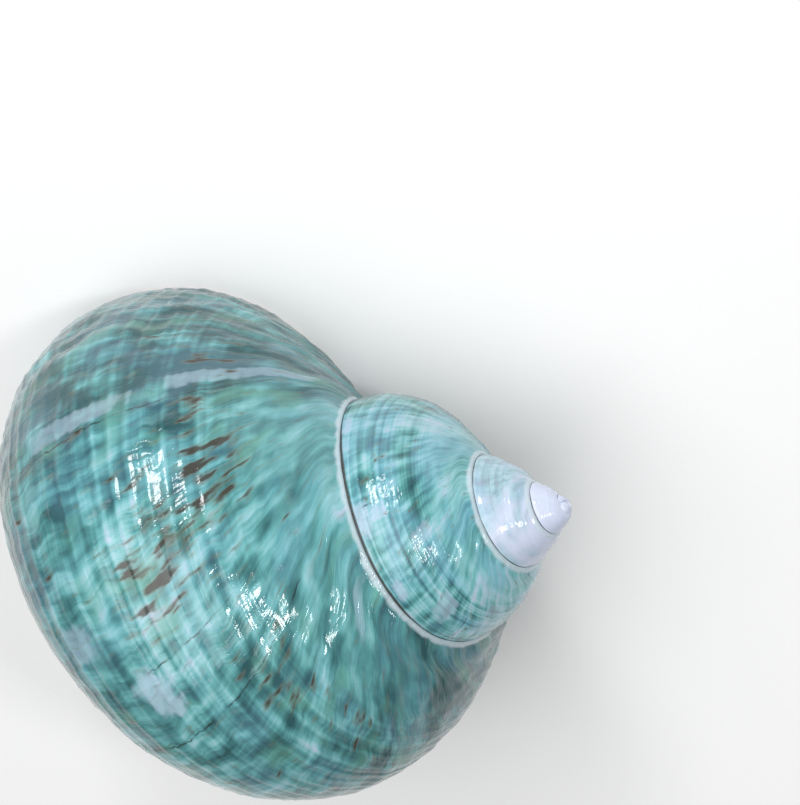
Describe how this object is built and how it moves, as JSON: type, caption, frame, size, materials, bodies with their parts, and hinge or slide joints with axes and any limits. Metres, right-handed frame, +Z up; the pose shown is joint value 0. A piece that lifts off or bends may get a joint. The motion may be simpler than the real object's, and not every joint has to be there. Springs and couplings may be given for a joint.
{
  "type": "turban shell",
  "caption": "Polished turban shell: a short, fat spiral seashell with a wide round mouth, lying mouth down on its rim.",
  "frame": {"origin": "centre of the footprint, on the plane of the mouth's rim that the shell rests on", "axes": "+Z up, away from the rim; +X towards the tip of the spire; -X towards the base of the last whorl; +Y towards the outer lip, so the mouth is on the +Y side of the inner lip"},
  "size_m": [0.0601, 0.0538, 0.0416],
  "materials": {
    "shell": "gloss"
  },
  "bodies": {
    "root": {"shell": "shell"}
  },
  "joints": []
}
